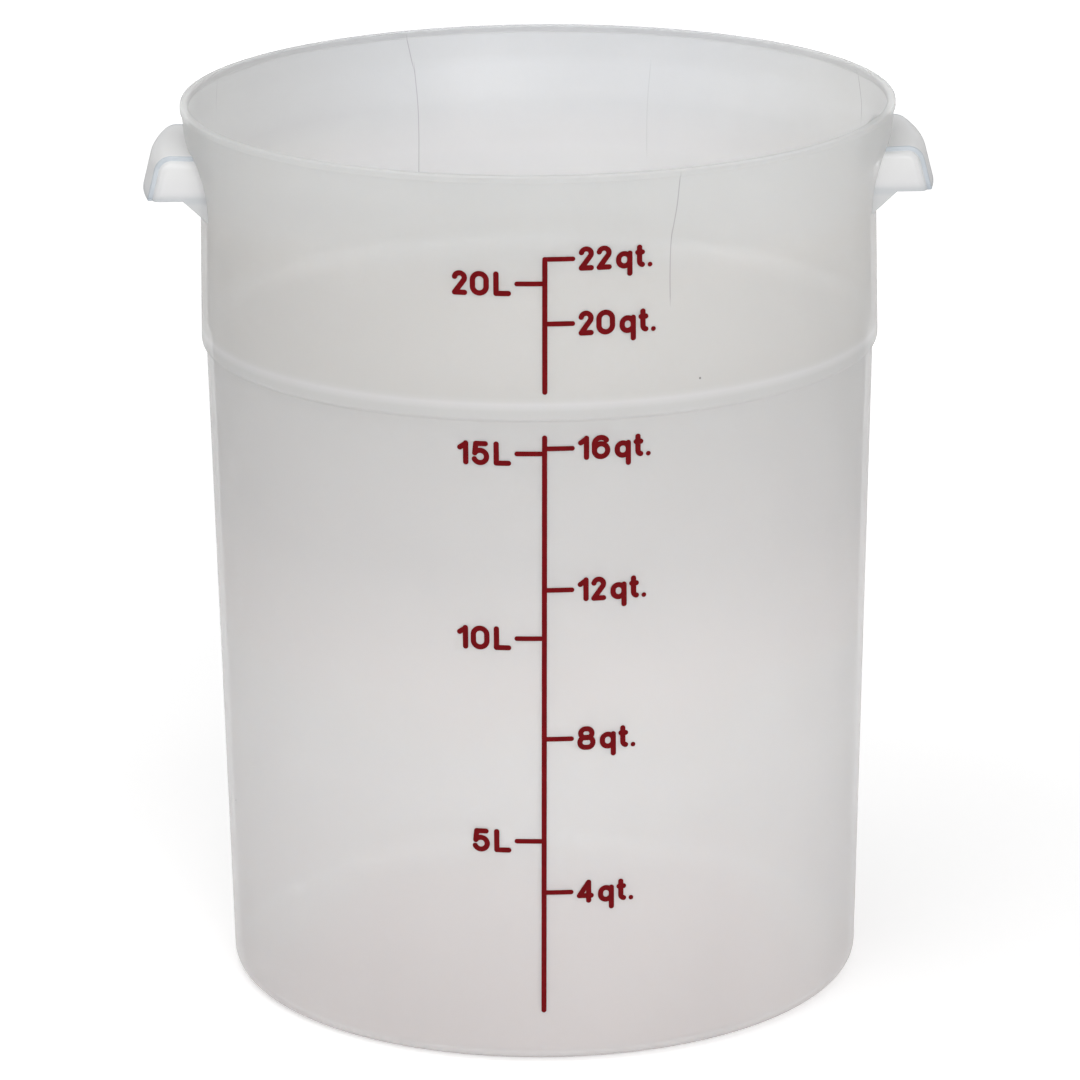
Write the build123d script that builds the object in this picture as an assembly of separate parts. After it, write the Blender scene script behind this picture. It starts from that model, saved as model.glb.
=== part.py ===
from build123d import *
import math
import os

# A tall round tub for proofing dough, moulded in milky polypropylene, with two
# hooded carrying handles under the rim and a volume scale printed down the front.
# The origin is the middle of the base. Z is up, the handles lie along X and the
# printed scale faces -Y. All lengths are in millimetres.

# Tub: its height and how far its features lie below the rim
total_height = 381.0
shoulder_drop = 102.0
band_top_drop = 47.0
flare_low_drop = 32.5
flare_high_drop = 15.0
rim_bead_height = 3.0

# Tub: its rim's outer radius and how far each stage below is drawn in from the one above
rim_radius = 150.0
rim_bead_proud = 0.5
flare_high_draw_in = 1.8
flare_low_draw_in = 5.1
band_top_draw_in = 0.8
band_spread = 0.9
shoulder_step = 2.0
lower_wall_draw_in = 6.1

# Tub: thicknesses and roundings
wall = 2.6
floor_thickness = 3.0
rim_thickness = 3.5
corner_radius = 7.5
shoulder_round = 1.8
ledge_lift = 4.5
ledge_rise = 3.5
flare_low_round = 45.0
flare_high_round = 30.0
band_round = 60.0
rim_round = 1.0

# Underside: a ring to stand on round a lifted middle, with the moulding gate's disc
foot_width = 16.0
foot_height = 2.5
gate_radius = 21.0
gate_rise = 0.5

# Handles: hoods that are open below
handle_overhang = 16.2
handle_top_drop = 17.4
handle_height = 18.0
handle_top_rise = 0.7
handle_face_lean = 4.5
handle_round = 7.0
handle_wall = 2.4
handle_half_width = 31.6
end_inset = 1.8
end_length = 3.2
end_round = 2.8
gusset_overhang = 9.4

# How far a cutting shape runs past the face that it opens
cut_overrun = 1.0

# Printed scale: line, ticks and figures
ink_thickness = 0.12
line_width = 2.1
tick_thickness = 2.0
tick_length = 11.1
label_gap = 1.3
cap_height = 10.2
stroke_width = 2.2
dot_width = 2.0
figure_gap = 1.0
unit_gap = 1.7

# The printed line leans a little: where it would cross the base and the rim, from the middle
line_foot_x = -4.3
line_head_x = -1.1

# Marks of the lower line, as shares of the height up to the shoulder
lower_line_shares = (0.0845, 0.9730)
lower_mark_shares = {
    "4 qt": 0.2717,
    "8 qt": 0.5122,
    "12 qt": 0.7418,
    "16 qt": 0.9565,
    "5 L": 0.3526,
    "10 L": 0.6678,
    "15 L": 0.9490,
}
# Marks of the upper line, as shares of the height from the shoulder to the rim
upper_line_foot_share = 0.1176
upper_mark_shares = {
    "20 qt": 0.3925,
    "22 qt": 0.6539,
    "20 L": 0.5542,
}

# Centre lines of the figures, as shares of the height that the centre lines span:
# straight strokes as x, z, x, z and arcs as centre x, centre z, radius, start angle,
# turn in degrees. The first number is the width that the centre lines span.
figure_shares = {
    "0": (0.68, [(0, 0.34, 0, 0.66), (0.68, 0.34, 0.68, 0.66)],
          [(0.34, 0.66, 0.34, 0, 180), (0.34, 0.34, 0.34, 180, 180)]),
    "1": (0.29, [(0.29, 0, 0.29, 1), (0, 0.77, 0.29, 0.97)], []),
    "2": (0.49, [(0.457, 0.632, 0, 0), (0, 0, 0.49, 0)], [(0.245, 0.755, 0.245, 168, -198)]),
    "4": (0.61, [(0.48, 0, 0.48, 1), (0.48, 1, 0, 0.27), (0, 0.27, 0.61, 0.27)], []),
    "5": (0.64, [(0.11, 1, 0.58, 1), (0.11, 1, 0.055, 0.50)], [(0.32, 0.32, 0.32, 146, -302)]),
    "6": (0.67, [(0, 0.335, 0, 0.665)],
          [(0.335, 0.335, 0.335, 0, 360), (0.335, 0.665, 0.335, 180, -145)]),
    "8": (0.67, [(0.27, 0, 0.40, 0), (0.27, 0.54, 0.40, 0.54), (0.29, 1, 0.38, 1)],
          [(0.27, 0.27, 0.27, 90, 180), (0.40, 0.27, 0.27, -90, 180),
           (0.29, 0.76, 0.24, 90, 180), (0.38, 0.76, 0.24, -90, 180)]),
    "L": (0.61, [(0, 0, 0, 1), (0, 0, 0.61, 0)], []),
    "q": (0.56, [(0.56, -0.40, 0.56, 0.65), (0, 0.28, 0, 0.36)],
          [(0.28, 0.36, 0.28, 0, 180), (0.28, 0.28, 0.28, 180, 180)]),
    "t": (0.23, [(0.09, 0.19, 0.09, 0.93), (0, 0.66, 0.23, 0.66)], [(0.28, 0.19, 0.19, 180, 75)]),
}

# Known volumes, as the edges of cubes that hold them
litre_edge = 100.0
quart_edge = 98.178

# Heights worked out from the rim down
shoulder_height = total_height - shoulder_drop
band_top = total_height - band_top_drop
flare_low_height = total_height - flare_low_drop
flare_high_height = total_height - flare_high_drop
bead_foot = total_height - rim_bead_height
handle_top = total_height - handle_top_drop
handle_bottom = handle_top - handle_height

# Radii worked out from the rim inwards
flare_high_radius = rim_radius - flare_high_draw_in
flare_low_radius = flare_high_radius - flare_low_draw_in
band_top_radius = flare_low_radius - band_top_draw_in
band_radius = band_top_radius + band_spread
neck_radius = band_radius - shoulder_step
base_radius = neck_radius - lower_wall_draw_in
foot_inner = base_radius - corner_radius - foot_width
handle_reach = rim_radius + handle_overhang
handle_root = flare_low_radius - wall

# What the middle lines of a figure's strokes span, from foot to head
line_span = cap_height - stroke_width


def revolved(points, radii):
    """A solid of revolution about Z from (radius, height) corners with rounded corners."""
    outline = FilletPolyline(*points, radius=radii, close=True)
    section = make_face(outline)
    return revolve(Plane.XZ * section, Axis.Z)


def outer_corners(grow=0):
    """Corners of the tub's outside from the base up to the rim, with their roundings."""
    return [
        (base_radius + grow, 0, corner_radius),
        (neck_radius + grow, shoulder_height, 0),
        (band_radius + grow, shoulder_height, shoulder_round),
        (band_top_radius + grow, band_top, band_round),
        (flare_low_radius + grow, flare_low_height, flare_low_round),
        (flare_high_radius + grow, flare_high_height, flare_high_round),
        (rim_radius - rim_bead_proud + grow, bead_foot, 0),
        (rim_radius + grow, bead_foot, 0),
        (rim_radius + grow, total_height, rim_round),
    ]


def envelope(grow=0):
    """The tub's outside as a filled solid, grown outwards by a film's thickness."""
    underside = [
        (0, foot_height, 0),
        (foot_inner - foot_height, foot_height, 0),
        (foot_inner, 0, 0),
    ]
    corners = underside + outer_corners(grow) + [(0, total_height, 0)]
    return revolved([(r, z) for r, z, _ in corners], [radius for _, _, radius in corners])


def tub_inside():
    """The space inside the tub, open at the mouth."""
    middle = foot_height + floor_thickness
    wall_slope = (neck_radius - base_radius) / shoulder_height
    inner_base = base_radius - wall + wall_slope * floor_thickness
    ledge_foot = shoulder_height + ledge_lift
    mouth = rim_radius - rim_thickness
    corners = [
        (0, middle + gate_rise, 0),
        (gate_radius - gate_rise, middle + gate_rise, 0),
        (gate_radius, middle, 0),
        (foot_inner - foot_height, middle, 0),
        (foot_inner, floor_thickness, 0),
        (inner_base, floor_thickness, corner_radius - wall),
        (neck_radius - wall, ledge_foot, 0),
        (band_radius - wall, ledge_foot + ledge_rise, shoulder_round),
        (band_top_radius - wall, band_top, band_round),
        (flare_low_radius - wall, flare_low_height, flare_low_round),
        (flare_high_radius - wall, flare_high_height, flare_high_round),
        (rim_radius - rim_bead_proud - wall, bead_foot, 0),
        (mouth, bead_foot, 0),
        (mouth, total_height, rim_round),
        (mouth + 2 * rim_round, total_height, 0),
        (mouth + 2 * rim_round, total_height + cut_overrun, 0),
        (0, total_height + cut_overrun, 0),
    ]
    return revolved([(r, z) for r, z, _ in corners], [radius for _, _, radius in corners])


def hood(inset, half_width):
    """One hood block in front of +X, shrunk by an inset at its top and outer face."""
    top_slope = handle_top_rise / (handle_reach - handle_root)
    face_slope = handle_face_lean / handle_height
    root_top = handle_top - inset
    corner_top = root_top + handle_top_rise
    corner_x = handle_reach - inset - face_slope * (corner_top - handle_bottom)
    corners = [
        (handle_root, handle_bottom, 0),
        (handle_reach - inset, handle_bottom, 0),
        (corner_x, root_top + top_slope * (corner_x - handle_root), handle_round - inset),
        (handle_root, root_top, 0),
    ]
    ring = revolved([(r, z) for r, z, _ in corners], [radius for _, _, radius in corners])
    slab = Pos(handle_reach / 2, 0, handle_bottom) * Box(
        handle_reach, 2 * half_width, 2 * total_height
    )
    return ring & slab


def hood_cavity():
    """The finger space under a hood, open below."""
    inside = hood(handle_wall, handle_half_width + end_length - handle_wall)
    return inside + Pos(0, 0, -cut_overrun) * inside


def gussets():
    """Triangular webs that carry the hood's two ends down the wall."""
    reach = flare_low_radius + gusset_overhang
    triangle = Polyline(
        (handle_root, handle_bottom),
        (reach, handle_bottom),
        (handle_root, handle_bottom - (reach - handle_root)),
        close=True,
    )
    web = extrude(Plane.XZ * make_face(triangle), handle_wall)
    outer_face = handle_half_width + end_length
    near = Pos(0, handle_wall - outer_face, 0) * web
    far = Pos(0, outer_face, 0) * web
    return near + far


def right_handle():
    """The handle on the +X side: a hood with domed ends, hollow and open below."""
    end_half_width = handle_half_width + end_length
    cap = hood(end_inset, end_half_width)
    end_edges = [
        edge
        for edge in cap.edges()
        if abs(abs(edge.center().Y) - end_half_width) < end_inset / 100
        and edge.center().Z > handle_bottom + end_inset / 100
        and edge.center().X > handle_root + end_inset
    ]
    cap = fillet(end_edges, end_round)
    shell = hood(0, handle_half_width) + cap
    shell = shell - hood_cavity()
    shell = shell + gussets()
    return shell - outside


def stroke(x0, z0, x1, z1):
    """A straight printed stroke with round ends."""
    length = math.hypot(x1 - x0, z1 - z0)
    turn = math.degrees(math.atan2(z1 - z0, x1 - x0))
    middle = Pos((x0 + x1) / 2, (z0 + z1) / 2)
    return middle * Rot(0, 0, turn) * SlotCenterToCenter(length, stroke_width)


def curved_stroke(x, z, radius, start, turn):
    """A printed stroke along an arc, or a full ring."""
    if abs(turn) == 360:
        ring = Circle(radius + stroke_width / 2) - Circle(radius - stroke_width / 2)
        return Pos(x, z) * ring
    return SlotArc(CenterArc((x, z), radius, start, turn), stroke_width)


def figure(character):
    """One figure as a flat sketch with its lower left corner at the origin."""
    if character == ".":
        return Pos(dot_width / 2, dot_width / 2) * Circle(dot_width / 2)
    _, lines, arcs = figure_shares[character]
    sketch = Sketch()
    for shares in lines:
        sketch += stroke(*[share * line_span for share in shares])
    for x, z, radius, start, turn in arcs:
        sketch += curved_stroke(x * line_span, z * line_span, radius * line_span, start, turn)
    return Pos(stroke_width / 2, stroke_width / 2) * sketch


def figure_width(character):
    """How wide a figure is from edge to edge."""
    if character == ".":
        return dot_width
    return figure_shares[character][0] * line_span + stroke_width


def label_places(text):
    """The figures of a label with their left edges, and the label's whole width."""
    number, unit = text.split()
    places, x = [], 0
    for index, character in enumerate(number):
        x += figure_gap if index else 0
        places.append((character, x))
        x += figure_width(character)
    x += unit_gap
    for index, character in enumerate(unit + ("." if unit == "qt" else "")):
        x += figure_gap if index else 0
        places.append((character, x))
        x += figure_width(character)
    return places, x


def line_x(height):
    """How far right of the middle the printed line stands at a height; it leans a little."""
    return line_foot_x + (line_head_x - line_foot_x) * height / total_height


def side_of(text):
    """Quarts stand right of the line and litres left of it."""
    return 1 if text.endswith("qt") else -1


def label_sketch(text, height):
    """A label beside the end of its tick, level with it."""
    places, width = label_places(text)
    reach = line_width / 2 + tick_length + label_gap
    left = line_x(height) + (reach if side_of(text) > 0 else -reach - width)
    sketch = Sketch()
    for character, x in places:
        sketch += Pos(left + x, height - cap_height / 2) * figure(character)
    return sketch


def bar(x0, z0, x1, z1, thickness):
    """A straight bar with round ends between two points."""
    length = math.hypot(x1 - x0, z1 - z0)
    turn = math.degrees(math.atan2(z1 - z0, x1 - x0))
    return Pos((x0 + x1) / 2, (z0 + z1) / 2) * Rot(0, 0, turn) * SlotCenterToCenter(length, thickness)


def line_sketch(foot, head, marks):
    """A printed upright line with a tick at each mark."""
    sketch = Sketch() + bar(line_x(foot), foot, line_x(head), head, line_width)
    for text, height in marks.items():
        reach = line_width / 2 + tick_length - tick_thickness / 2
        end = line_x(height) + side_of(text) * reach
        sketch += bar(line_x(height), height, end, height, tick_thickness)
    return sketch


def printed(sketch):
    """A flat sketch as a film of ink on the front of the tub's outside."""
    block = extrude(Plane.XZ.offset(base_radius / 2) * sketch, rim_radius)
    return (block & inked_front) - bare_front


def inside_volume_below(height):
    """What the tub holds up to a height, in cubic millimetres."""
    level = Pos(0, 0, height / 2) * Cylinder(rim_radius, height)
    return (inside & level).volume


outside = envelope()
inside = tub_inside()
front_half = Pos(0, -rim_radius, total_height / 2) * Box(
    2 * rim_radius, 2 * rim_radius, 2 * total_height
)
bare_front = outside & front_half
inked_front = envelope(ink_thickness) & front_half

lower_marks = {text: share * shoulder_height for text, share in lower_mark_shares.items()}
upper_marks = {
    text: shoulder_height + share * shoulder_drop for text, share in upper_mark_shares.items()
}
lower_foot, lower_head = [share * shoulder_height for share in lower_line_shares]
upper_foot = shoulder_height + upper_line_foot_share * shoulder_drop
upper_head = max(upper_marks.values())

handle = right_handle()
parts = {
    "container_body": outside - inside,
    "right_handle": handle,
    "left_handle": Rot(0, 0, 180) * handle,
    "lower_scale_line": printed(line_sketch(lower_foot, lower_head, lower_marks)),
    "upper_scale_line": printed(line_sketch(upper_foot, upper_head, upper_marks)),
}
for text, height in {**lower_marks, **upper_marks}.items():
    parts["label_" + text.lower().replace(" ", "_")] = printed(label_sketch(text, height))

os.makedirs("parts", exist_ok=True)
for name, shape in parts.items():
    shape.label = name
    export_step(shape, f"parts/{name}.step")
    print(name, "solids", len(shape.solids()), "volume", round(shape.volume, 1))

for text, height in {**lower_marks, **upper_marks}.items():
    number, unit = text.split()
    edge = quart_edge if unit == "qt" else litre_edge
    held = inside_volume_below(height) / edge**3
    print(f"mark {text} at {height:.1f} holds {held:.2f} {unit}")
print("brimful", round(inside_volume_below(total_height) / quart_edge**3, 1), "qt")
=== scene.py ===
# %% [markdown]
# # A dough proofing tub
# A tall round tub of milky polypropylene, moulded in one shot: a thin wall that
# widens at a shoulder, a flared and beaded rim, and two hooded handles under it.
# Its only decoration is a volume scale, screen-printed in dark red on the front.
# The lesson starts from the measured model of the tub, the frame, and dresses it.

# %% Load the frame
import math

import bmesh
import bpy
from mathutils import Matrix, Vector


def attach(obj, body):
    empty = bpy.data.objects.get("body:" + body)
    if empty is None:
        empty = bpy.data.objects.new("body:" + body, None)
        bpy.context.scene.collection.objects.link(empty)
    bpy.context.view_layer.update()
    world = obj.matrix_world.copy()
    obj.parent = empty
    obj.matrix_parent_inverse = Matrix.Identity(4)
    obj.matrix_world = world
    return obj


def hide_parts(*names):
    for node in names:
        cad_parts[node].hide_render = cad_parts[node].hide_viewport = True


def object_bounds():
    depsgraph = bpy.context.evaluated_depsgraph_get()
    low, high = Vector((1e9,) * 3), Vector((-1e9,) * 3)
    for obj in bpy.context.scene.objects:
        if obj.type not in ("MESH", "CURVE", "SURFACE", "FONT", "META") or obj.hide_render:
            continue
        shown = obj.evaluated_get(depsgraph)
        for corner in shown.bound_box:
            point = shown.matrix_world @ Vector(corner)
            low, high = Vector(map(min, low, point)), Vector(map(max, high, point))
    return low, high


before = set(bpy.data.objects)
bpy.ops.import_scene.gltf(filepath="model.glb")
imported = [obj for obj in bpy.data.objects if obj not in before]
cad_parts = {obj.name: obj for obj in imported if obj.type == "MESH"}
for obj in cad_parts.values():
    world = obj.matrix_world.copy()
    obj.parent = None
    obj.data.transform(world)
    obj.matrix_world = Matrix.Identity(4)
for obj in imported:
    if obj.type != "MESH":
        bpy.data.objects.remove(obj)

scene = bpy.context.scene
cad_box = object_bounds()
print("frame:", sorted(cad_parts))

# %% [markdown]
# ## Sizes
# Everything is in metres, as Blender likes it, but a moulded tub is easier to think
# about in millimetres. So each size is written as a number of `mm`, starting from the
# rim, because the stages of the wall are drawn in one after another below it.

# %% Sizes of the tub
mm = 0.001
total_height = cad_box[1].z
rim_radius = 150 * mm
bead_height = 3 * mm
bead_proud = 0.5 * mm
rim_thickness = 3.5 * mm
rim_round = 1 * mm
wall = 2.6 * mm
floor_thickness = 3 * mm
bottom_round = 7.5 * mm
shoulder_round = 1.8 * mm
ledge_lift = 4.5 * mm
ledge_rise = 3.5 * mm

shoulder_height = total_height - 102 * mm
band_top = total_height - 47 * mm
flare_low_height = total_height - 32.5 * mm
flare_high_height = total_height - 15 * mm
bead_foot = total_height - bead_height

flare_high_radius = rim_radius - 1.8 * mm
flare_low_radius = flare_high_radius - 5.1 * mm
band_top_radius = flare_low_radius - 0.8 * mm
band_radius = band_top_radius + 0.9 * mm
neck_radius = band_radius - 2 * mm
base_radius = neck_radius - 6.1 * mm
foot_inner = base_radius - bottom_round - 16 * mm
foot_height = 2.5 * mm
gate_radius = 21 * mm
gate_rise = 0.5 * mm
print(f"rim {rim_radius / mm:.0f} mm, base {base_radius / mm:.1f} mm, height {total_height / mm:.0f} mm")

# %% [markdown]
# ## Camera
# The photograph looks down on the tub by about seventeen degrees from well over two
# metres away, with a long lens, so the wall's sides stay almost parallel. The camera
# stands a degree and a half left of the tub's front, which brings the left handle a
# little nearer, and it leans by half a degree, as a camera held by hand does. The
# lens is known in pixels of the picture, and the sensor's width makes them millimetres.

# %% Camera
camera_distance = 2369.6 * mm
camera_height = 896.9 * mm
camera_pitch = 0.2913
camera_roll = 0.0085
camera_turn = 0.026
camera_side = 0.56 * mm
image_width = 1080
focal_pixels = 5764.8
sensor_width = 36

camera_data = bpy.data.cameras.new("camera")
camera_data.sensor_width = sensor_width
camera_data.lens = focal_pixels / image_width * sensor_width
camera = bpy.data.objects.new("camera", camera_data)
scene.collection.objects.link(camera)
aim = Matrix.Rotation(math.pi / 2 - camera_pitch, 4, "X") @ Matrix.Rotation(-camera_roll, 4, "Z")
stand = Matrix.Translation((-camera_side, -camera_distance, camera_height))
camera.matrix_world = Matrix.Rotation(-camera_turn, 4, "Z") @ stand @ aim
scene.camera = camera
print(f"lens {camera_data.lens:.0f} mm, {math.degrees(camera_pitch):.1f} degrees down")

# %% [markdown]
# ## A helper for outlines
# A turned shape is easiest to draw as a chain of corners, each with its own rounding,
# like a pencil sketch that is rounded off afterwards. Bevelling one vertex of a wire
# cuts its corner with an arc. The arc starts `rounding * tan(turn / 2)` away from the
# corner, which is where a circle of that radius touches the two legs.

# %% Outline helper
arc_step = math.radians(9)
fewest_arc_steps = 2


def in_order(first):
    """Walks along a wire from its first vertex and lists its vertices one after another."""
    chain = [first]
    behind = None
    while True:
        ahead = [edge for edge in chain[-1].link_edges if edge is not behind]
        if not ahead:
            return chain
        behind = ahead[0]
        chain.append(behind.other_vert(chain[-1]))


def rounded_chain(bm, corners):
    """Draws a wire through (x, z, rounding) corners in the XZ plane and rounds them."""
    chain = [bm.verts.new((x, 0, z)) for x, z, _ in corners]
    for start, end in zip(chain, chain[1:]):
        bm.edges.new((start, end))
    for corner, (_, _, rounding) in zip(chain, corners):
        if not rounding:
            continue
        legs = [edge.other_vert(corner).co - corner.co for edge in corner.link_edges]
        turn = math.pi - legs[0].angle(legs[1])
        bmesh.ops.bevel(
            bm,
            geom=[corner],
            affect="VERTICES",
            offset_type="OFFSET",
            offset=rounding * math.tan(turn / 2),
            segments=max(fewest_arc_steps, math.ceil(turn / arc_step)),
            profile=0.5,
            material=-1,
        )
    return in_order(chain[0])


# %% [markdown]
# Every finished mesh becomes an object in the same way. It is shaded smooth, except at
# edges sharper than a given angle. It rides on the root of the frame, because nothing
# on this tub moves.


# %% Piece helper
def add_piece(name, bm, sharp_angle):
    """Makes a finished mesh a piece of the tub that goes where the tub goes."""
    mesh = bpy.data.meshes.new(name)
    bm.to_mesh(mesh)
    bm.free()
    for face in mesh.polygons:
        face.use_smooth = True
    mesh.set_sharp_from_angle(angle=sharp_angle)
    piece = bpy.data.objects.new(name, mesh)
    scene.collection.objects.link(piece)
    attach(piece, "root")
    print(name, len(mesh.polygons), "faces")
    return piece


# %% [markdown]
# ## The tub
# The real tub is one injection moulding with a real wall thickness, and in a milky
# plastic the thickness shows: at the rim, at the shoulder's ledge and round the floor.
# So the outline goes from the middle of the underside out to the wall, up the outside,
# over the rim and back down the inside. Long soft bends have a large rounding, and
# folds, where the real mould has a nearly sharp corner, a small one.

# %% Outline of the tub
band_bend = 60 * mm
flare_foot_bend = 45 * mm
flare_head_bend = 30 * mm
under_shoulder_round = 1.4 * mm
ledge_fold_round = 0.8 * mm
valley_round = 1.5 * mm
ridge_round = 1 * mm
tight_round = 0.2 * mm

underside_corners = [
    (0, foot_height, 0),
    (foot_inner - foot_height, foot_height, valley_round),
    (foot_inner, 0, ridge_round),
]
outside_corners = [
    (base_radius, 0, bottom_round),
    (neck_radius, shoulder_height, under_shoulder_round),
    (band_radius, shoulder_height, shoulder_round),
    (band_top_radius, band_top, band_bend),
    (flare_low_radius, flare_low_height, flare_foot_bend),
    (flare_high_radius, flare_high_height, flare_head_bend),
    (rim_radius - bead_proud, bead_foot, tight_round),
    (rim_radius, bead_foot, tight_round),
    (rim_radius, total_height, rim_round),
]
wall_slope = (neck_radius - base_radius) / shoulder_height
floor_middle = foot_height + floor_thickness
ledge_foot = shoulder_height + ledge_lift
ledge_top = ledge_foot + ledge_rise
mouth_radius = rim_radius - rim_thickness
inside_corners = [
    (mouth_radius, total_height, rim_round),
    (mouth_radius, bead_foot, tight_round),
    (rim_radius - bead_proud - wall, bead_foot, tight_round),
    (flare_high_radius - wall, flare_high_height, flare_head_bend),
    (flare_low_radius - wall, flare_low_height, flare_foot_bend),
    (band_top_radius - wall, band_top, band_bend),
    (band_radius - wall, ledge_top, shoulder_round),
    (neck_radius - wall, ledge_foot, ledge_fold_round),
    (base_radius - wall + wall_slope * floor_thickness, floor_thickness, bottom_round - wall),
    (foot_inner, floor_thickness, valley_round),
    (foot_inner - foot_height, floor_middle, ridge_round),
    (gate_radius, floor_middle, tight_round),
    (gate_radius - gate_rise, floor_middle + gate_rise, tight_round),
    (0, floor_middle + gate_rise, 0),
]
print("corners:", len(underside_corners + outside_corners + inside_corners))

# %% [markdown]
# A full spin round the tub's axis turns the outline into a closed shell. The spin joins
# its own seam, but both ends of the outline lie on the axis, where it leaves a heap of
# points. So doubles are merged first, and then all faces are turned to point outwards.

# %% Spin of the tub
tub_steps = 240
merge_distance = 0.01 * mm
tub_sharp_angle = math.radians(40)

bm = bmesh.new()
rounded_chain(bm, underside_corners + outside_corners + inside_corners)
bmesh.ops.spin(
    bm,
    geom=bm.verts[:] + bm.edges[:],
    cent=(0, 0, 0),
    axis=(0, 0, 1),
    angle=2 * math.pi,
    steps=tub_steps,
    use_merge=True,
)
bmesh.ops.remove_doubles(bm, verts=bm.verts, dist=merge_distance)
bmesh.ops.recalc_face_normals(bm, faces=bm.faces)
open_edges = sum(edge.is_boundary for edge in bm.edges)
print("tub:", open_edges, "open edges,", round(bm.calc_volume() / mm**3), "cubic mm")
tub = add_piece("tub", bm, tub_sharp_angle)
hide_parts("container_body")

# %% [markdown]
# ## The handles
# Each handle is a thin hood under the rim, open below for the fingers. Its ends are
# closed by smaller domed caps, set in from the hood's edge, and a small web carries
# each end down the wall. The outer skin is modelled once, as one sheet, and Solidify
# in bmesh gives it its wall, so that the hollow follows the hood by itself.

# %% Sizes of a handle
handle_reach = rim_radius + 16.2 * mm
handle_top = total_height - 17.4 * mm
handle_bottom = handle_top - 18 * mm
handle_top_rise = 0.7 * mm
handle_face_lean = 4.5 * mm
handle_round = 7 * mm
handle_wall = 2.4 * mm
handle_half_width = 31.6 * mm
handle_root = flare_low_radius - wall
root_depth = 0.5 * mm
cap_inset = 1.8 * mm
cap_length = 3.2 * mm
cap_round = 2.8 * mm
web_overhang = 9.4 * mm
edge_softness = 0.35 * mm
print(f"handles reach {handle_reach / mm:.1f} mm from the axis")


def under_skin(height):
    """The radius just under the wall's outer skin, at a height on the band or flare."""
    corners = [(z, x) for x, z, _ in outside_corners if z >= shoulder_height]
    for (low_z, low_x), (high_z, high_x) in zip(corners[1:], corners[2:]):
        if low_z <= height <= high_z:
            share = (height - low_z) / (high_z - low_z)
            return low_x + (high_x - low_x) * share - root_depth
    raise ValueError("no wall at this height")


# %% [markdown]
# The handle's cross-section is a chain of three corners: in the wall, over the outer
# corner and down to the lip. The same chain drawn a little smaller is the domed cap's
# section. Every section lies in a plane square to the handle's length, but its points
# follow circles round the tub, so a point's x shrinks as it moves away from the middle.


# %% Sections of a handle
def hood_section(inset):
    """Radius and height of each point of the section, drawn in by an inset."""
    top_slope = handle_top_rise / (handle_reach - handle_root)
    face_slope = handle_face_lean / (handle_top - handle_bottom)
    corner_z = handle_top - inset + handle_top_rise
    corner_x = handle_reach - inset - face_slope * (corner_z - handle_bottom)
    root_z = handle_top - inset + top_slope * (under_skin(handle_top) - handle_root)
    sketch = bmesh.new()
    corners = [
        (under_skin(root_z), root_z, 0),
        (corner_x, corner_z, handle_round - inset),
        (handle_reach - inset, handle_bottom, 0),
    ]
    points = [(vert.co.x, vert.co.z) for vert in rounded_chain(sketch, corners)]
    sketch.free()
    return points


def bent_point(radius, height, y):
    """A point of a section at its place along the handle, on its circle round the tub."""
    return Vector((math.sqrt(radius**2 - y**2), y, height))


# %% [markdown]
# The sections stand at stations along the handle. On the hood they are evenly spread.
# At each end the section first shrinks to the cap's size in one step, and then closes
# in along a quarter circle, which gives the cap its dome.

# %% Stations along a handle
hood_steps = 20
cap_steps = 6
stations = []
for step in range(cap_steps + 1):
    swing = math.pi / 2 * (1 - step / cap_steps)
    inset = cap_inset + cap_round * (1 - math.cos(swing))
    stations.append((handle_half_width + cap_length - cap_round * (1 - math.sin(swing)), inset))
stations.append((handle_half_width, cap_inset))
stations.append((handle_half_width, 0))
far_stations = [(-y, inset) for y, inset in stations]
for step in range(1, hood_steps):
    far_stations.append((handle_half_width * (2 * step / hood_steps - 1), 0))
stations = far_stations + stations[::-1]
print(len(stations), "sections along a handle, from", round(stations[0][0] / mm, 1), "mm")

# %% [markdown]
# Extruding the first section's edges again and again, and moving each new row to the
# next section's points, draws the skin. A number kept on every vertex says which point
# of the section it is, and extruding copies it. Each end is then closed by one flat
# face that runs down into the web, and the sheet gets its thickness.


# %% Skin of a handle
def handle_end(bm, row, y):
    """Closes one end of the skin with a flat face whose tail is the web down the wall."""
    web_reach = flare_low_radius + web_overhang
    web_foot = handle_bottom - (web_reach - under_skin(handle_bottom))
    tail = [
        (web_reach, handle_bottom),
        (under_skin(web_foot), web_foot),
        (under_skin(flare_low_height), flare_low_height),
    ]
    loop = row + [bm.verts.new(bent_point(radius, height, y)) for radius, height in tail]
    bmesh.ops.contextual_create(bm, geom=loop)


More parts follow.
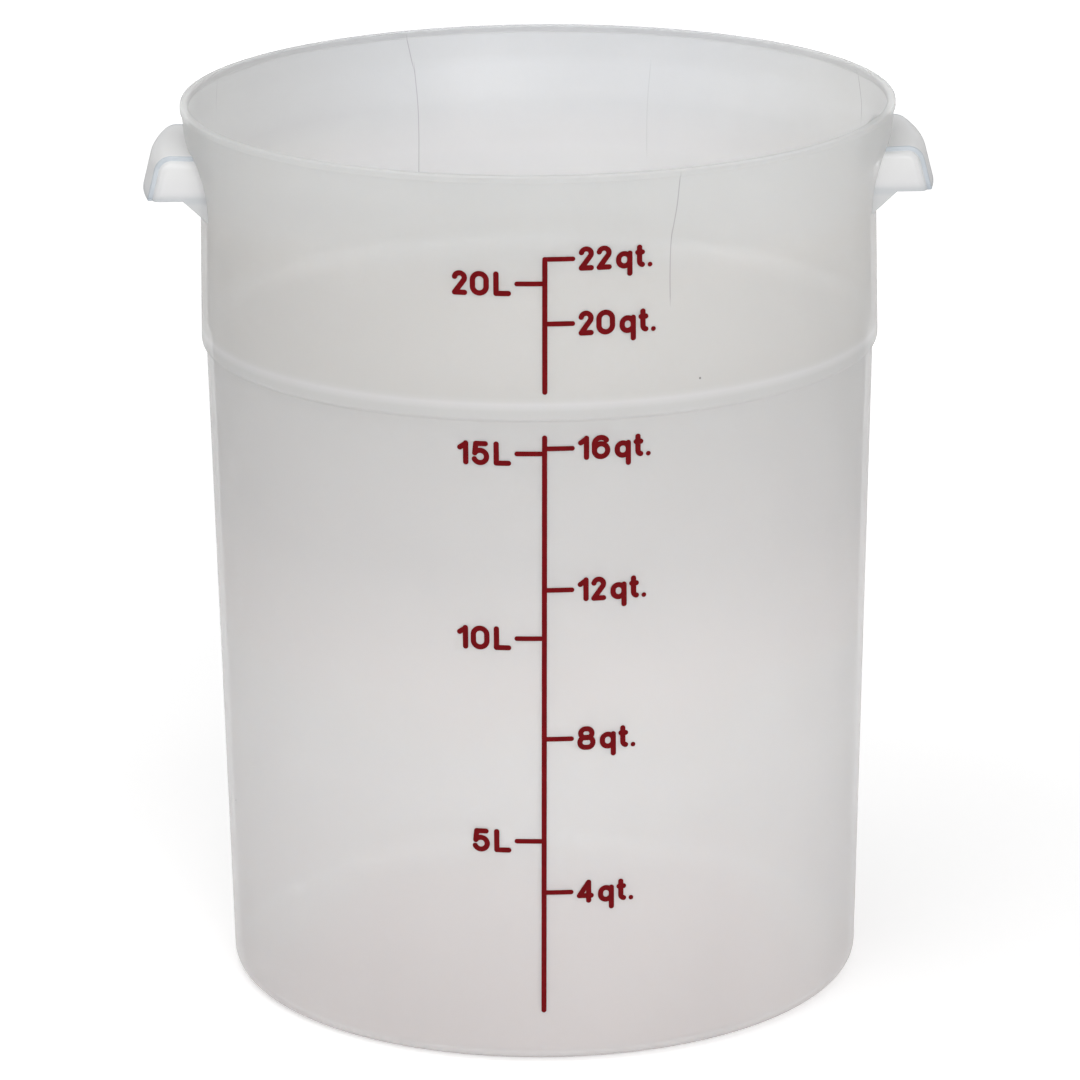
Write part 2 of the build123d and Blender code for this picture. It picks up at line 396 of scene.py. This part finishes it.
def handle_mesh():
    """The right handle: the skin along all stations, its two ends and its thickness."""
    bm = bmesh.new()
    place = bm.verts.layers.int.new("place in section")
    first_y, first_inset = stations[0]
    points = hood_section(first_inset)
    row = [bm.verts.new(bent_point(radius, height, first_y)) for radius, height in points]
    for index, vert in enumerate(row):
        vert[place] = index
    edges = [bm.edges.new(pair) for pair in zip(row, row[1:])]
    first_row = row
    for y, inset in stations[1:]:
        points = hood_section(inset)
        extruded = bmesh.ops.extrude_edge_only(bm, edges=edges)["geom"]
        row = [item for item in extruded if isinstance(item, bmesh.types.BMVert)]
        for vert in row:
            radius, height = points[vert[place]]
            vert.co = bent_point(radius, height, y)
        edges = [item for item in extruded if isinstance(item, bmesh.types.BMEdge)]
        edges = [edge for edge in edges if all(vert in row for vert in edge.verts)]
    row.sort(key=lambda vert: vert[place])
    handle_end(bm, first_row, first_y)
    handle_end(bm, row, stations[-1][0])
    bmesh.ops.recalc_face_normals(bm, faces=bm.faces)
    if sum(face.normal.z for face in bm.faces) < 0:
        bmesh.ops.reverse_faces(bm, faces=bm.faces)
    bmesh.ops.solidify(bm, geom=bm.faces, thickness=handle_wall)
    return bm


# %% [markdown]
# A mould has no knife edges. Every crisp edge of the hood, its caps and its lip gets a
# narrow bevel, which catches the light as a thin soft line. The two handles are the
# same shape, so the left one is the right one turned half a turn before it is kept.

# %% Both handles
crisp = math.radians(50)
edge_steps = 2
hood_sharp_angle = math.radians(35)
hoods = []
for name, turn in (("right", 0), ("left", math.pi)):
    bm = handle_mesh()
    edges = [edge for edge in bm.edges if edge.calc_face_angle(0) > crisp]
    bmesh.ops.bevel(
        bm,
        geom=edges,
        affect="EDGES",
        offset=edge_softness,
        segments=edge_steps,
        profile=0.5,
        clamp_overlap=True,
        material=-1,
    )
    bmesh.ops.rotate(bm, verts=bm.verts, cent=(0, 0, 0), matrix=Matrix.Rotation(turn, 3, "Z"))
    open_edges = sum(edge.is_boundary for edge in bm.edges)
    print(name, "handle:", open_edges, "open edges,", round(bm.calc_volume() / mm**3), "cubic mm")
    hood = add_piece(name + "_hood", bm, hood_sharp_angle)
    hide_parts(name + "_handle")
    hoods.append(hood)

# %% [markdown]
# ## Helpers for materials
# A procedural material is a chain of small sums on a point's coordinates. Written out,
# every node takes several lines, so a few helpers keep the chains readable: one adds a
# node and fills its inputs, and those for coordinates and sums are built on it. The
# coordinates are the object's own, so a pattern stays on the plastic wherever it goes.

# %% Helpers for nodes
white = (1, 1, 1, 1)


def new_material(name):
    """A material with a lone Principled node, and its node tree."""
    material = bpy.data.materials.new(name)
    material.use_nodes = True
    tree = material.node_tree
    return material, tree, tree.nodes["Principled BSDF"]


def add_node(tree, kind, inputs, **settings):
    """Adds a node, sets its properties, and puts values or links into its inputs."""
    node = tree.nodes.new(kind)
    for name, value in settings.items():
        setattr(node, name, value)
    for place, value in inputs.items():
        if isinstance(value, bpy.types.NodeSocket):
            tree.links.new(value, node.inputs[place])
        else:
            node.inputs[place].default_value = value
    return node


def own_place(tree):
    """The coordinates of a point on its own object."""
    return add_node(tree, "ShaderNodeTexCoord", {}).outputs["Object"]


def calculate(tree, operation, *values):
    """One step of arithmetic on numbers or links."""
    return add_node(tree, "ShaderNodeMath", dict(enumerate(values)), operation=operation).outputs[0]


def rescale(tree, value, low, high, to_low, to_high):
    """Moves a value from one range to another, and holds it at the ends."""
    ends = {"From Min": low, "From Max": high, "To Min": to_low, "To Max": to_high}
    return add_node(tree, "ShaderNodeMapRange", {"Value": value, **ends}).outputs[0]


# %% [markdown]
# Colours need two steps of their own. A blend goes from one colour to another by a
# share. A product lays one tone over another, as tinted glasses do. The blend's node
# has sockets for numbers, vectors and colours, so the helper picks those for colours.


# %% Helpers for colours
def blend(tree, share, first, second):
    """The colour between two colours, where a share of 0 is the first of them."""
    node = add_node(tree, "ShaderNodeMix", {0: share}, data_type="RGBA")
    ends = [socket for socket in node.inputs if socket.type == "RGBA"]
    for socket, colour in zip(ends, (first, second)):
        socket.default_value = colour
    return next(socket for socket in node.outputs if socket.type == "RGBA")


def product(tree, first, *others):
    """Colours or tones multiplied one after another."""
    for other in others:
        inputs = {0: first, 1: other}
        first = add_node(tree, "ShaderNodeVectorMath", inputs, operation="MULTIPLY").outputs[0]
    return first


# %% [markdown]
# No surface of the tub is quite even. Clouds of noise vary the plastic's tone by a few
# percent, and patches of noise vary the roughness of plastic and ink. A very fine grain,
# as the blasted steel of a mould leaves it, is at most a hundredth of a millimetre deep.
# Noise seldom reaches its ends, so its middle part is stretched over the whole range.

# %% Helpers for surfaces
noise_detail = 3
noise_low = 0.35
noise_high = 0.65
patch_scale = 25
grain_depth = 0.01 * mm
grain_strength = 0.5


def noise_between(tree, place, scale, low, high):
    """A cloudy value between two ends, from noise on the piece's own coordinates."""
    inputs = {"Vector": place, "Scale": scale, "Detail": noise_detail}
    noise = add_node(tree, "ShaderNodeTexNoise", inputs).outputs["Fac"]
    return rescale(tree, noise, noise_low, noise_high, low, high)


def satin(tree, shader, place, smoothest, roughest, grain_scale):
    """Gives a surface its uneven roughness and its fine grain."""
    patches = noise_between(tree, place, patch_scale, smoothest, roughest)
    tree.links.new(patches, shader.inputs["Roughness"])
    fine = noise_between(tree, place, grain_scale, 0, 1)
    inputs = {"Height": fine, "Distance": grain_depth, "Strength": grain_strength}
    bump = add_node(tree, "ShaderNodeBump", inputs)
    tree.links.new(bump.outputs["Normal"], shader.inputs["Normal"])


# %% [markdown]
# ## Milky plastic
# The tub's tone changes with height, and most of that change is painted light and shade.
# The lower wall is painted palest, as light from the table, and it is painted darker
# again towards the foot, as shade from the floor; the band above the shoulder is greyer.
# A thin pale ring of painted light marks the inside ledge, where the plastic is thicker
# and gathers light from above. The ramp runs over the height, and its stops are heights
# on the tub in millimetres.

# %% Tone by height
# Most of these steps are painted light and shade over the plastic's own pale tone.
height_tones_and_painted_light = [
    (0, (0.855, 0.81, 0.805)),
    (60, (0.91, 0.87, 0.866)),
    (118, (0.97, 0.94, 0.934)),
    (160, (0.93, 0.90, 0.893)),
    (215, (0.81, 0.797, 0.795)),
    (283.2, (0.77, 0.765, 0.76)),
    (284.6, (0.85, 0.85, 0.85)),
    (286.2, (0.88, 0.88, 0.88)),
    (287.6, (0.77, 0.757, 0.74)),
    (334, (0.775, 0.762, 0.745)),
    (349, (0.78, 0.778, 0.77)),
    (381, (0.78, 0.785, 0.78)),
]


def tone_by_height(tree, height, tones):
    """A colour ramp over the height, which holds its first and last tone past its ends."""
    share = rescale(tree, height, 0, total_height, 0, 1)
    ramp = add_node(tree, "ShaderNodeValToRGB", {"Fac": share})
    stops = ramp.color_ramp.elements
    stops.remove(stops[0])
    (lowest, colour), *others = tones
    stops[0].position = lowest * mm / total_height
    stops[0].color = (*colour, 1)
    for level, colour in others:
        stops.new(level * mm / total_height).color = (*colour, 1)
    return ramp.outputs["Color"]


# %% [markdown]
# Hairlines run down the wall where flows of melt met in the mould, and two dark
# specks are burnt crumbs of plastic. A flow line is given by the angle round the tub
# and the height of its lower end, the same of its upper end, and how dark it is. It
# fades out at both ends. A speck is given by its angle, height and size. Angles are
# degrees from the front, heights and sizes are millimetres. Widths and places are
# worked out along the wall, as the angle times the radius.

# %% Flow lines and specks
flow_lines = [
    (20.1, 322.6, 20.0, 357.0, 0.42),
    (20.0, 351.0, 20.7, 381.0, 0.42),
    (-159.0, 268.0, -159.5, 368.0, 0.45),
    (-159.5, 362.0, -158.2, 381.0, 0.45),
    (158.3, 323.0, 158.3, 368.0, 0.15),
    (104.3, 358.0, 109.8, 380.0, 0.65),
    (-110.1, 364.0, -112.9, 380.0, 0.25),
]
specks = [
    (25.3, 292.2, 0.6),
    (-75.6, 82.6, 0.5),
]
line_half_width = 0.34 * mm
fade_length = 5 * mm
speck_depth = 0.75


def flow_line_mark(tree, across, height, line):
    """How dark a flow line is at a point of the wall."""
    low_angle, low, high_angle, high, depth = line
    lean = (high_angle - low_angle) / (high - low)
    start = math.radians(low_angle - lean * low) * band_radius
    slope = math.radians(lean) * band_radius / mm
    off = calculate(tree, "MULTIPLY_ADD", height, -slope, across)
    off = calculate(tree, "ABSOLUTE", calculate(tree, "SUBTRACT", off, start))
    mark = rescale(tree, off, 0, line_half_width, depth, 0)
    foot = rescale(tree, height, low * mm, low * mm + fade_length, 0, 1)
    head = rescale(tree, height, high * mm - fade_length, high * mm, 1, 0)
    return calculate(tree, "MULTIPLY", mark, calculate(tree, "MULTIPLY", foot, head))


def speck_mark(tree, across, height, speck):
    """How dark a speck is at a point of the wall."""
    angle, level, size = speck
    sideways = calculate(tree, "SUBTRACT", across, math.radians(angle) * band_radius)
    upward = calculate(tree, "SUBTRACT", height, level * mm)
    sideways = calculate(tree, "MULTIPLY", sideways, sideways)
    upward = calculate(tree, "MULTIPLY", upward, upward)
    away = calculate(tree, "SQRT", calculate(tree, "ADD", sideways, upward))
    return rescale(tree, away, size * mm / 2, size * mm, speck_depth, 0)


def clean_share(tree, across, height):
    """A share of the plastic's tone: 1 where it is clear, less on a flow line or a speck."""
    marks = [flow_line_mark(tree, across, height, line) for line in flow_lines]
    marks += [speck_mark(tree, across, height, speck) for speck in specks]
    marks_and_painted_light = 1.0
    for mark in marks:
        marks_and_painted_light = calculate(tree, "MULTIPLY", marks_and_painted_light, calculate(tree, "SUBTRACT", 1.0, mark))
    return marks_and_painted_light


# %% [markdown]
# Light wanders a long way in milky plastic. It gathers at folds, passes through the far
# wall and fades before it reaches the rim's inner face. A renderer traces only part of
# that, so small changes of tone stand in for the rest. Each belongs to a zone of the
# tub, and for that the material needs more measures of a point than its coordinates:
# its distance from the axis, how far to either side it is, and its way round the wall.

# %% Measures on the tub
tub_plastic, tree, shader = new_material("milky_polypropylene")
place = own_place(tree)
east, north, height = add_node(tree, "ShaderNodeSeparateXYZ", {0: place}).outputs
south = calculate(tree, "MULTIPLY", north, -1.0)
across = calculate(tree, "MULTIPLY", calculate(tree, "ARCTAN2", east, south), band_radius)
squares = calculate(tree, "MULTIPLY_ADD", east, east, calculate(tree, "MULTIPLY", north, north))
radius = calculate(tree, "SQRT", squares)
sideways = calculate(tree, "ABSOLUTE", east)
print("measures:", len(tree.nodes), "nodes")

# %% [markdown]
# A limit is a measure with two values: at the first the zone has not begun, and at the
# second it is in full. Between them it fades, so that no zone has a visible border.

# %% Limits on the tub
inner_skin = (radius, band_radius - 0.6 * wall, band_radius - 0.8 * wall)
rim_inner_face = (radius, mouth_radius + rim_round, mouth_radius)
past_floor_fold = (radius, foot_inner - foot_height - 1.5 * mm, foot_inner - foot_height)
inside_foot_ring = (radius, foot_inner + 3 * mm, foot_inner)
in_bottom_corner = (radius, base_radius - bottom_round - 2 * mm, base_radius - bottom_round)
past_gate_disc = (radius, gate_radius - 2 * mm, gate_radius - 1 * mm)
within_gate_edge = (radius, gate_radius + 1.5 * mm, gate_radius)

near_floor = (height, 9 * mm, 7 * mm)
nearer_floor = (height, 9 * mm, 5 * mm)
low_on_wall = (height, 170 * mm, 70 * mm)
above_shoulder = (height, shoulder_height, shoulder_height + 2 * mm)
below_ledge_top = (height, ledge_top + 3 * mm, ledge_top)
above_ledge = (height, ledge_foot, ledge_foot + 15 * mm)
high_on_band = (height, shoulder_height + 11 * mm, shoulder_height + 41 * mm)
below_band_top = (height, band_top + 14 * mm, band_top - 6 * mm)
above_band = (height, band_top - 4 * mm, flare_low_height)
on_flare = (height, band_top - 9 * mm, band_top + 11 * mm)
on_bead = (height, bead_foot, bead_foot + 0.5 * mm)

eastward = (east, -160 * mm, 20 * mm)
west_side = (east, -30 * mm, -120 * mm)
both_sides = (sideways, 70 * mm, 135 * mm)
off_the_middle = (sideways, 30 * mm, 100 * mm)
front_half = (north, 20 * mm, -20 * mm)
back_half = (north, -10 * mm, 30 * mm)
well_back = (north, 20 * mm, 60 * mm)
far_wall = (north, 60 * mm, 130 * mm)

# %% [markdown]
# A zone is a change of tone and the limits that bound it, and each zone is painted light
# or painted shade. The change is a share of the tone, so 0.2 makes a place a fifth lighter
# and -0.2 a fifth darker. Painted light lies on the inner face between the ledge and the
# band's top, at the back of the ledge, at the foot ring, in the floor's corner at the back,
# low on both sides and on the flare either side of the front; painted shade lies on the
# rim's inner face, on the left of the back half above the band, and round the gate disc.

# %% Zones of light
inside_lift = 0.22
rim_shade = -0.3
side_shade = -0.2
back_ledge_glow = 0.2
floor_ring_glow = 0.12
corner_glow = 0.16
gate_shade = -0.2
low_side_lift = 0.11
flare_side_lift = 0.06
zones = [
    (inside_lift, inner_skin, above_ledge, below_band_top, eastward),
    (rim_shade, rim_inner_face, on_bead),
    (side_shade, west_side, back_half, above_band),
    (back_ledge_glow, well_back, above_shoulder, below_ledge_top),
    (floor_ring_glow, past_floor_fold, inside_foot_ring, near_floor),
    (corner_glow, in_bottom_corner, nearer_floor, well_back),
    (gate_shade, past_gate_disc, within_gate_edge, near_floor),
    (low_side_lift, both_sides, low_on_wall),
    (flare_side_lift, off_the_middle, on_flare, front_half),
]
print(len(zones), "zones")


def faded(tree, change, limits):
    """A change that is full where all limits are met, and fades out where one isn't."""
    for value, outside, within in limits:
        ends = (outside, within, 0, 1) if outside < within else (within, outside, 1, 0)
        change = calculate(tree, "MULTIPLY", rescale(tree, value, *ends), change)
    return change


# %% [markdown]
# Natural polypropylene carries no dye. A wall this thin lets almost half of the light
# straight through, so the far wall and the print's shadow show through the near one.
# The rest wanders about in the plastic and comes out softly, which is what subsurface
# scattering does, over about the wall's thickness. The see-through share, the alpha,
# is the same everywhere. The band's far wall is seen as slightly blue in this light, so
# a bluish cast of painted light is blended in there.

# %% Plastic of the tub
tub_alpha = 0.53
tub_shine = 0.4
scatter_weight = 0.7
scatter_by_colour = (1, 0.95, 0.9)
scatter_reach = 3 * mm
painted_cool_light = (0.975, 0.99, 1.03, 1)
cloud_scale = 14
tub_cloud = 0.985

tone = tone_by_height(tree, height, height_tones_and_painted_light)
cloud = noise_between(tree, place, cloud_scale, tub_cloud, 1.0)
marks_and_painted_light = calculate(tree, "MULTIPLY", clean_share(tree, across, height), cloud)
# Here the zones' painted light and painted shade are multiplied in with the marks.
for change, *limits in zones:
    share = faded(tree, change, limits)
    marks_and_painted_light = calculate(tree, "MULTIPLY", marks_and_painted_light, calculate(tree, "ADD", share, 1.0))
# A bluish cast of painted light on the band's far wall.
painted_cool_share = faded(tree, 1.0, [far_wall, high_on_band])
painted_tint = blend(tree, painted_cool_share, white, painted_cool_light)
tree.links.new(product(tree, tone, marks_and_painted_light, painted_tint), shader.inputs["Base Color"])
satin(tree, shader, place, smoothest=0.33, roughest=0.42, grain_scale=900)
shader.inputs["Alpha"].default_value = tub_alpha
shader.inputs["Specular IOR Level"].default_value = tub_shine
shader.inputs["Subsurface Weight"].default_value = scatter_weight
shader.inputs["Subsurface Radius"].default_value = scatter_by_colour
shader.inputs["Subsurface Scale"].default_value = scatter_reach
tub.data.materials.append(tub_plastic)
print("tub plastic:", len(tree.nodes), "nodes")

# %% [markdown]
# The handles are the same plastic, but their short thick hoods let only a quarter of the
# light through, and they are painted whiter, as painted light. The lip below and the edge
# at each end of a hood are painted as thin bluish lines of shade. The caps, which stand
# back behind those edges, are painted a touch darker, as shade.
# The tones are again heights in millimetres, from the webs over the lip to the hood.

# %% Plastic of the handles
# The white hood is painted light, and the dark lip is painted shade.
handle_tones_and_painted_light = [
    (344, (0.84, 0.85, 0.86)),
    (345.6, (0.74, 0.77, 0.80)),
    (347.2, (0.78, 0.80, 0.82)),
    (348.6, (0.97, 0.97, 0.98)),
    (356, (1.0, 1.0, 1.0)),
]
painted_edge_shade = (0.66, 0.72, 0.78, 1)
cap_shade = -0.07
handle_alpha = 0.75
handle_cloud = 0.97
end_line = 2.2 * mm
end_line_fade = 1 * mm
cap_fade = 0.3 * mm

handle_plastic, tree, shader = new_material("handle_polypropylene")
place = own_place(tree)
_, along, height = add_node(tree, "ShaderNodeSeparateXYZ", {0: place}).outputs
along = calculate(tree, "ABSOLUTE", along)
near_end = (along, handle_half_width - end_line, handle_half_width - end_line + end_line_fade)
on_hood = (along, handle_half_width + cap_fade, handle_half_width)
on_cap = (along, handle_half_width, handle_half_width + cap_fade)
tone = tone_by_height(tree, height, handle_tones_and_painted_light)
cloud = noise_between(tree, place, cloud_scale, handle_cloud, 1.0)
# Painted shade: darker caps, and a bluish line along each hood's end edge.
shade = calculate(tree, "ADD", cloud, faded(tree, cap_shade, [on_cap]))
painted_tint = blend(tree, faded(tree, 1.0, [near_end, on_hood]), white, painted_edge_shade)
tree.links.new(product(tree, tone, shade, painted_tint), shader.inputs["Base Color"])
satin(tree, shader, place, smoothest=0.3, roughest=0.4, grain_scale=900)
shader.inputs["Alpha"].default_value = handle_alpha
for hood in hoods:
    hood.data.materials.append(handle_plastic)
print("handle plastic:", len(tree.nodes), "nodes")

# %% [markdown]
# ## Ink
# The scale is screen-printed in one pass of dark red ink. A squeegee leaves the film
# a little thicker and darker here and there, and it dries with a faint shine. The
# print is taken over from the frame, where its lines and labels are thin solid films.

# %% Ink of the scale
thick_ink = (0.155, 0.002, 0.004, 1)
thin_ink = (0.19, 0.0026, 0.0055, 1)
squeegee_scale = 300
ink_shine = 0.1

scale_ink, tree, shader = new_material("scale_ink")
place = own_place(tree)
patch = noise_between(tree, place, squeegee_scale, 0, 1)
tree.links.new(blend(tree, patch, thick_ink, thin_ink), shader.inputs["Base Color"])
satin(tree, shader, place, smoothest=0.55, roughest=0.65, grain_scale=2500)
shader.inputs["Specular IOR Level"].default_value = ink_shine
printed = [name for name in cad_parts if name.startswith("label") or name.endswith("scale_line")]
for name in printed:
    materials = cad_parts[name].data.materials
    materials.clear()
    materials.append(scale_ink)
print("printed:", len(printed), "lines and labels")

# %% [markdown]
# ## Studio
# The tub stands on a wide white table that runs on as the backdrop. The camera sees
# the floor with a little glow of its own, so that it comes out pure white and keeps
# only the soft shadow at the tub's foot, while its light on the tub stays natural.
# The glow grows with the distance from the tub, where less lamplight reaches the floor.

# %% Floor
floor_half_size = 6
floor_grey = (0.9, 0.9, 0.9, 1)
floor_roughness = 0.9
near = 0.3
far = 1.8
glow_near = 0.36
glow_far = 0.75

floor_mesh = bpy.data.meshes.new("floor")
bm = bmesh.new()
bmesh.ops.create_grid(bm, x_segments=1, y_segments=1, size=floor_half_size)
bm.to_mesh(floor_mesh)
bm.free()
studio_floor = bpy.data.objects.new("floor", floor_mesh)
scene.collection.objects.link(studio_floor)

floor_white, tree, shader = new_material("white_floor")
shader.inputs["Base Color"].default_value = floor_grey
shader.inputs["Roughness"].default_value = floor_roughness
shader.inputs["Specular IOR Level"].default_value = 0
seen = add_node(tree, "ShaderNodeLightPath", {}).outputs["Is Camera Ray"]
away = add_node(tree, "ShaderNodeVectorMath", {0: own_place(tree)}, operation="LENGTH").outputs["Value"]
lift = calculate(tree, "MULTIPLY", seen, rescale(tree, away, near, far, glow_near, glow_far))
glow = add_node(tree, "ShaderNodeEmission", {"Strength": lift, "Color": white})
total = add_node(tree, "ShaderNodeAddShader", {0: shader.outputs[0], 1: glow.outputs[0]})
tree.links.new(total.outputs[0], tree.nodes["Material Output"].inputs["Surface"])
floor_mesh.materials.append(floor_white)
print("floor:", 2 * floor_half_size, "m wide")

# %% [markdown]
# ## Light
# White walls all round give an even light. A world colour does that without any walls,
# and its strength can differ for the camera, which sees it as pure white, and for the
# tub, which gets much less.

# %% World
world_light = 0.40
scene.view_settings.view_transform = "Standard"
world = bpy.data.worlds.new("studio")
scene.world = world
world.use_nodes = True
tree = world.node_tree
background = tree.nodes["Background"]
background.inputs["Color"].default_value = white
seen = add_node(tree, "ShaderNodeLightPath", {}).outputs["Is Camera Ray"]
tree.links.new(rescale(tree, seen, 0, 1, world_light, 1), background.inputs["Strength"])
print("world light:", world_light)

# %% [markdown]
# One large lamp overhead, a little to the left and in front, lights the tub's mouth and
# floor. Another stands about where the camera is, off to the right, and makes the front
# brighter than the sides, so the wall's roundness shows. Both are big soft boxes, as
# in a photographer's studio, because small lamps would leave hard highlights.


# %% Lamps
def softbox(name, place, target, width, depth, power):
    """A big soft lamp at a place, turned towards a target."""
    lamp = bpy.data.lights.new(name, "AREA")
    lamp.shape = "RECTANGLE"
    lamp.size = width
    lamp.size_y = depth
    lamp.energy = power
    box = bpy.data.objects.new(name, lamp)
    box.location = place
    box.rotation_mode = "QUATERNION"
    box.rotation_quaternion = (Vector(target) - Vector(place)).to_track_quat("-Z", "Y")
    scene.collection.objects.link(box)
    print(name, power, "W")


aim_point = (0, 0, 0.2)
softbox("top_softbox", place=(-0.4, -0.3, 1.8), target=aim_point, width=1.6, depth=1.6, power=13)
softbox("front_softbox", place=(0.55, -2.35, 1.2), target=aim_point, width=1.2, depth=1.0, power=22)
